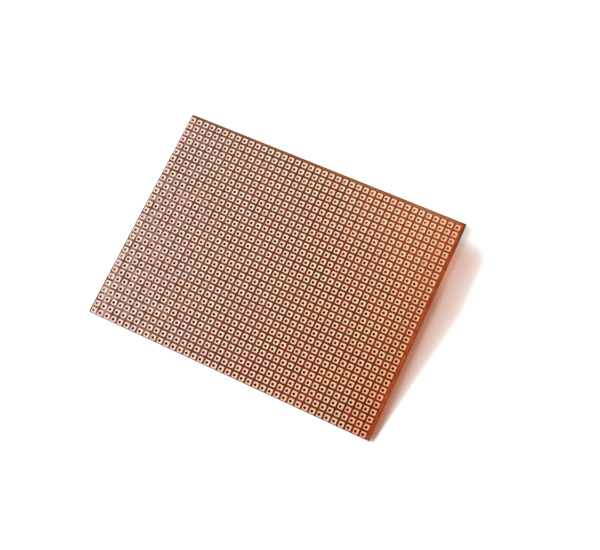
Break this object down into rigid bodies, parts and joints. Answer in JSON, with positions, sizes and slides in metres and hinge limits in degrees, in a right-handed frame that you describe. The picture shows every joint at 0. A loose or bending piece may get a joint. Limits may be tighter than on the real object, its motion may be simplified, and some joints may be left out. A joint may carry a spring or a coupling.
{
  "type": "prototype board",
  "caption": "Flat rectangular laminate sheet with a grid of square copper solder pads on one face, each with a lead hole through it, for wiring circuits by hand.",
  "frame": {"origin": "middle of the underside, at the centre of the overall rectangle", "axes": "+X along the rows of pads, towards the wide bare margin; +Y towards the back edge; +Z out of the copper side"},
  "size_m": [0.1028, 0.077, 0.0016],
  "materials": {
    "phenolic_paper": "satin",
    "copper_foil": "satin"
  },
  "bodies": {
    "root": {"laminate": "phenolic_paper", "pad_row_01": "copper_foil", "pad_row_02": "copper_foil", "pad_row_03": "copper_foil", "pad_row_04": "copper_foil", "pad_row_05": "copper_foil", "pad_row_06": "copper_foil", "pad_row_07": "copper_foil", "pad_row_08": "copper_foil", "pad_row_09": "copper_foil", "pad_row_10": "copper_foil", "pad_row_11": "copper_foil", "pad_row_12": "copper_foil", "pad_row_13": "copper_foil", "pad_row_14": "copper_foil", "pad_row_15": "copper_foil", "pad_row_16": "copper_foil", "pad_row_17": "copper_foil", "pad_row_18": "copper_foil", "pad_row_19": "copper_foil", "pad_row_20": "copper_foil", "pad_row_21": "copper_foil", "pad_row_22": "copper_foil", "pad_row_23": "copper_foil", "pad_row_24": "copper_foil", "pad_row_25": "copper_foil", "pad_row_26": "copper_foil", "pad_row_27": "copper_foil", "pad_row_28": "copper_foil", "pad_row_29": "copper_foil", "pad_row_30": "copper_foil"}
  },
  "joints": []
}
